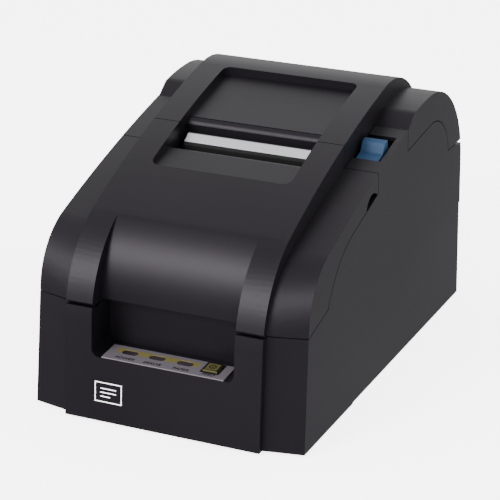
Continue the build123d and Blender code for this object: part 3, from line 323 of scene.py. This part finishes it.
def skin(node, finish, width, segments=2):
    # a merged copy of a CAD node with its edges broken, shown in the node's place
    source = nodes[node]
    bm = bmesh.new()
    bm.from_mesh(source.data)
    bmesh.ops.remove_doubles(bm, verts=bm.verts, dist=copied["merge"])
    bmesh.ops.dissolve_limit(bm, angle_limit=copied["flat"], verts=bm.verts, edges=bm.edges)
    piece = finished(node + "Skin", bm, finish, copied["sharp"])
    if width:
        edge = piece.modifiers.new("edge", "BEVEL")
        edge.width, edge.segments = width, segments
        edge.limit_method, edge.angle_limit = "ANGLE", math.radians(copied["sharp"])
        edge.use_clamp_overlap = True
        edge.miter_outer = "MITER_ARC"
        even = piece.modifiers.new("even", "WEIGHTED_NORMAL")
        even.keep_sharp = True
    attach(piece, body_of(source)[0])
    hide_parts(node)


def block(bm, centre, size):
    bmesh.ops.create_cube(bm, size=1.0, matrix=Matrix.Translation(centre) @ Matrix.Diagonal((*size, 1)))


def newVerts(made):
    return [part for part in made["geom"] if isinstance(part, bmesh.types.BMVert)]


shellEdge = 0.45 * mm
for node in ("housing", "front_cover", "rear_cover"):
    skin(node, "case", shellEdge)
print("covers and case finished")

touched = {  # finish, material slot, edge in mm and its rounds
    "release_lever": ("lever", "lever", 0.35, 3), "tear_bar": ("brightSteel", "bright_steel", 0.05, 1),
    "feed_button": ("button", "button", 0.1, 2),
}
for node, (finish, slotName, edge, rounds) in touched.items():
    skin(node, finish, edge * mm, rounds)

panel = {
    "rise": math.radians(3.796), "thick": 0.6 * mm,
    "grey": (0.085, 0.074, 0.088), "olive": (0.105, 0.090, 0.026),
    "bandY": 10.4 * mm, "bandX": (-31.5 * mm, 18.0 * mm), "bandHalf": 2.5 * mm,
    "grain": 1500.0, "gloss": (0.36, 0.5), "grainDepth": 0.02 * mm,
    "labelEdge": 0.08 * mm, "lensEdge": 0.12 * mm, "lampIn": 4.5 * mm, "middleLamp": -7.2 * mm,
}
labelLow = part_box("panel_label")[0]
buttonLow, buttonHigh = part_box("feed_button")
lensLow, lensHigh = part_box("led_lenses")
panelFrame = Matrix.Translation((0, labelLow[1], labelLow[2] + panel["thick"] * math.cos(panel["rise"]))) @ (
    Matrix.Rotation(panel["rise"], 4, "X"))


def panelPlace(x, y, z=0.0):
    # across, back from the label's front edge and up from its face
    return panelFrame @ Matrix.Translation((x, y, z))


def labelPaint():
    # grey label with an olive pill behind the lamps
    paint = Paint("label", panel["grey"], 0.42)
    x, y, _z = paint.parts(paint.place())
    start, end = panel["bandX"]
    halfLong = (end - start) / 2 - panel["bandHalf"]
    bandY = labelLow[1] + panel["bandY"] * math.cos(panel["rise"])
    beyond = ((x - (start + end) / 2).abs() - halfLong).most(0.0)
    off = y - bandY
    within = (beyond * beyond + off * off) < panel["bandHalf"] ** 2
    grain = paint.noise(panel["grain"], 3.0)
    paint.set("Base Color", paint.blend(within, panel["grey"], panel["olive"]))
    paint.set("Roughness", paint.spread(grain, *panel["gloss"]))
    paint.set("Normal", paint.bump(grain, 0.25, panel["grainDepth"]))
    return paint


skin("panel_label", labelPaint(), panel["labelEdge"])
skin("led_lenses", "lens", panel["lensEdge"], 3)

lettering = {"size": 3.1 * mm, "y": 3.0 * mm, "rise": 0.05 * mm, "spacing": 1.12, "slant": 0.25,
             "weight": 0.07 * mm, "middle": 0.35, "merge": 0.001 * mm}


def caption(name, text, x):
    # raised lettering, made a mesh before it is placed
    curve = bpy.data.curves.new(name, "FONT")
    curve.body, curve.size, curve.align_x = text, lettering["size"], "CENTER"
    curve.extrude, curve.offset = lettering["rise"] / 2, lettering["weight"]
    curve.space_character, curve.shear = lettering["spacing"], lettering["slant"]
    loose = bpy.data.objects.new(name + "Loose", curve)
    bpy.context.scene.collection.objects.link(loose)
    bpy.context.view_layer.update()
    mesh = bpy.data.meshes.new_from_object(loose)
    bpy.data.objects.remove(loose)
    bm = bmesh.new()
    bm.from_mesh(mesh)
    bpy.data.meshes.remove(mesh)
    bmesh.ops.remove_doubles(bm, verts=bm.verts, dist=lettering["merge"])
    y = lettering["y"] - lettering["size"] * lettering["middle"]
    bmesh.ops.transform(bm, verts=bm.verts, matrix=panelPlace(x, y, lettering["rise"] / 2))
    newPiece(name, bm, "print")


buttonX = (buttonLow[0] + buttonHigh[0]) / 2
caption("captionPower", "POWER", lensLow[0] + panel["lampIn"])
caption("captionError", "ERROR", panel["middleLamp"])
caption("captionPaper", "PAPER", lensHigh[0] - panel["lampIn"])
caption("captionFeed", "FEED", buttonX)

button = {
    "y": 9.5 * mm, "top": 1.18 * mm,  # the top is over the label's face
    "frame": (4.56 * mm, 5.35 * mm, 0.35 * mm), "rim": (3.48 * mm, 4.08 * mm, 0.06 * mm),  # in, out, height
    "ringEdge": 0.1 * mm, "iconRadius": 2.0 * mm, "iconBore": 0.74, "iconHeight": 0.06 * mm,
    "strokes": ((0.25 * mm, 0.35 * mm, 1.5 * mm), (-0.55 * mm, 1.3 * mm, 0.3 * mm)),  # y, width, depth
}


def squareRing(name, centre, sizes, body="body"):
    # a printed square frame with its upper edges rounded
    inner, outer, height = sizes
    bm = bmesh.new()
    bmesh.ops.create_grid(bm, x_segments=1, y_segments=1, size=outer)
    ring = bmesh.ops.inset_region(bm, faces=bm.faces[:], thickness=outer - inner,
                                  use_boundary=True, use_even_offset=True)
    middle = [f for f in bm.faces if f not in ring["faces"]]
    bmesh.ops.delete(bm, geom=middle, context="FACES")
    up = newVerts(bmesh.ops.extrude_face_region(bm, geom=bm.faces[:]))
    bmesh.ops.translate(bm, verts=up, vec=(0, 0, height))
    topEdges = [e for e in bm.edges if all(v in up for v in e.verts)]
    bmesh.ops.bevel(bm, geom=topEdges, offset=min(button["ringEdge"], height / 3), offset_type="OFFSET",
                    segments=2, profile=0.5, affect="EDGES", material=-1)
    bmesh.ops.transform(bm, verts=bm.verts, matrix=centre)
    newPiece(name, bm, "print", body)


def buttonIcon(centre):
    # a printed ring with a paper mark in it
    height = button["iconHeight"]
    bm = bmesh.new()
    bmesh.ops.create_circle(bm, cap_ends=False, segments=32, radius=button["iconRadius"])
    inner = newVerts(bmesh.ops.extrude_edge_only(bm, edges=bm.edges[:]))
    bmesh.ops.scale(bm, verts=inner, vec=(button["iconBore"], button["iconBore"], 1))
    up = newVerts(bmesh.ops.extrude_face_region(bm, geom=bm.faces[:]))
    bmesh.ops.translate(bm, verts=up, vec=(0, 0, height))
    for y, wide, deep in button["strokes"]:
        block(bm, (0, y, height / 2), (wide, deep, height))
    bmesh.ops.transform(bm, verts=bm.verts, matrix=centre)
    newPiece("buttonIcon", bm, "print", "feed_button")


squareRing("buttonFrame", panelPlace(buttonX, button["y"]), button["frame"])
buttonFace = panelPlace(buttonX, button["y"], button["top"])
buttonIcon(buttonFace)
squareRing("buttonRim", buttonFace, button["rim"], "feed_button")
print("control panel finished")

frontMark = {
    "x": -31.5 * mm, "z": 18.5 * mm, "half": (7.6 * mm, 5.2 * mm), "line": 0.55 * mm, "proud": 0.05 * mm,
    "lean": 0.0707, "wallFoot": 1.5 * mm,  # how the front wall leans back, and where it starts
    "margin": 0.62, "rows": ((0.36, 0.62), (-0.08, 0.62), (-0.52, 0.15)),  # height and right end of each
}


def makeMark():
    # a generic slip of paper with lines on it
    wide, tall = frontMark["half"]
    line = frontMark["line"]
    bars = [(-wide, wide, -tall - line, -tall), (-wide, wide, tall, tall + line),
            (-wide - line, -wide, -tall - line, tall + line), (wide, wide + line, -tall - line, tall + line)]
    bars += [(-wide * frontMark["margin"], wide * end, tall * height, tall * height + line)
             for height, end in frontMark["rows"]]
    bm = bmesh.new()
    for x0, x1, z0, z1 in bars:
        block(bm, ((x0 + x1) / 2, 0, (z0 + z1) / 2), (x1 - x0, frontMark["proud"], z1 - z0))
    y = cadLow[1] + (frontMark["z"] - frontMark["wallFoot"]) * frontMark["lean"]
    place = Matrix.Translation((frontMark["x"], y, frontMark["z"]))
    turn = Matrix.Rotation(-math.atan(frontMark["lean"]), 4, "X")
    bmesh.ops.transform(bm, verts=bm.verts, matrix=place @ turn)
    newPiece("frontMark", bm, "mark")


makeMark()

inside = {  # finish, material slot and edge in mm
    "paper_guide": ("caseInner", "inner", 0.3), "roll_bucket": ("caseInner", "inner", 0.4),
    "lever_bracket": ("caseInner", "inner", 0.3), "ribbon_cassette": ("caseInner", "cassette", 0.5),
    "carriage": ("caseInner", "inner", 0.3), "print_head": ("alloy", "alloy", 0.25),
    "side_plate_left": ("steel", "steel", 0.15), "side_plate_right": ("steel", "steel", 0.15),
    "feed_roller": ("roller", "roller", 0.3), "roller_shaft": ("steel", "steel", 0.2),
    "roller_gear": ("gear", "gear", 0.1), "idler_gear": ("gear", "gear", 0.1),
    "motor_pinion": ("brass", "brass", 0.05), "feed_motor": ("motor", "motor", 0.3),
    "carriage_motor": ("motor", "motor", 0.3), "platen_bar": ("steel", "steel", 0.3),
    "drive_belt": ("belt", "belt", 0.1), "drive_pulley": ("gear", "gear", 0.15),
    "idler_pulley": ("gear", "gear", 0.15), "idler_post": ("caseInner", "inner", 0.2),
    "ribbon_knob": ("knob", "knob", 0.25), "mechanism_bridge": ("steel", "steel", 0.15),
    "chassis_plate": ("base", "base", 0.2), "rubber_feet": ("feet", "feet", 0.5),
    "base_screws": ("steel", "steel", 0.1), "interface_port": ("glossBlack", "port", 0.15),
    "drawer_port": ("glossBlack", "port", 0.15), "power_inlet": ("glossBlack", "port", 0.15),
    "switch_body": ("glossBlack", "switch", 0.2), "switch_rocker": ("glossBlack", "rocker", 0.3),
    "main_board": ("board", "board", 0.0), "panel_board": ("board", "board", 0.0),
}
pinEdge = 0.1 * mm
for node, (finish, slotName, edge) in inside.items():
    skin(node, finish, edge * mm)
for node in ("front_hinge_pins", "rear_hinge_pins", "lever_pin", "idler_stud", "guide_shaft", "carriage_rail"):
    skin(node, "steel", pinEdge, 1)
skin("board_posts", "caseInner", pinEdge, 1)
print("inner pieces finished")

stage = {"floor": 40.0, "floorColour": (0.93, 0.93, 0.93), "floorGlow": 4.2, "skyStrength": 2.0}
sky = ((0.0, 0.6), (0.49, 0.6), (0.53, 1.1), (0.74, 2.5), (0.94, 1.35))  # brightness from straight down to up


def makeFloor():
    bm = bmesh.new()
    bmesh.ops.create_grid(bm, x_segments=1, y_segments=1, size=stage["floor"])
    mesh = bpy.data.meshes.new("floor")
    bm.to_mesh(mesh)
    bm.free()
    floor = bpy.data.objects.new("floor", mesh)
    bpy.context.scene.collection.objects.link(floor)
    white = Paint("floor", stage["floorColour"], 0.7, **{
        "Specular IOR Level": 0.1, "Emission Color": (1, 1, 1, 1), "Emission Strength": stage["floorGlow"]})
    mesh.materials.append(white.mat)
    floor.visible_glossy = False  # the case mirrors the studio's dim lower half instead


def makeWorld():
    # dim below the horizon, brightest in a band some way above it and less bright overhead
    world = bpy.data.worlds.new("studio")
    bpy.context.scene.world = world
    world.use_nodes = True
    studio = Nodes(world.node_tree)
    _x, _y, height = studio.parts(studio.add("ShaderNodeTexCoord", out="Generated"))
    lift = studio.add("ShaderNodeMapRange", None, {"Value": height, "From Min": -1.0})
    stops = [(position, (level / stage["skyStrength"],) * 3) for position, level in sky]
    light = studio.tree.nodes["Background"]
    studio.join(studio.add("ShaderNodeValToRGB", {"stops": stops}, {0: lift}), light.inputs["Color"])
    studio.join(stage["skyStrength"], light.inputs["Strength"])


lights = {
    "keyLight": {"towards": (-0.384, -0.78, 0.492), "distance": 2.2, "size": (0.9, 0.8), "radiance": 27},
    "rightLight": {"towards": (0.85, 0.45, 0.6), "distance": 2.4, "size": (1.4, 1.4), "radiance": 5},
}
lightAim = Vector((0, 0, 0.08))


def softBox(name, towards, distance, size, radiance):
    # an area light, seen from the printer in the direction given
    data = bpy.data.lights.new(name, "AREA")
    data.shape, data.size, data.size_y = "RECTANGLE", size[0], size[1]
    data.energy = radiance * math.pi * size[0] * size[1]
    lamp = bpy.data.objects.new(name, data)
    way = Vector(towards).normalized()
    lamp.location = lightAim + way * distance
    lamp.rotation_euler = (-way).to_track_quat("-Z", "Y").to_euler()
    bpy.context.scene.collection.objects.link(lamp)


makeFloor()
makeWorld()
for name, light in lights.items():
    softBox(name, **light)

view = {"place": (0.45977, -1.02147, 0.50958), "azimuth": math.radians(24.43),
        "elevation": math.radians(21.81), "lens": 151.75, "sensor": 36.0}
lens = bpy.data.cameras.new("camera")
lens.lens, lens.sensor_width = view["lens"], view["sensor"]
camera = bpy.data.objects.new("camera", lens)
level = math.cos(view["elevation"])
aim = Vector((-math.sin(view["azimuth"]) * level, math.cos(view["azimuth"]) * level,
              -math.sin(view["elevation"])))
camera.location = view["place"]
camera.rotation_euler = aim.to_track_quat("-Z", "Y").to_euler()
bpy.context.scene.collection.objects.link(camera)
bpy.context.scene.camera = camera
print("floor, light and camera set")
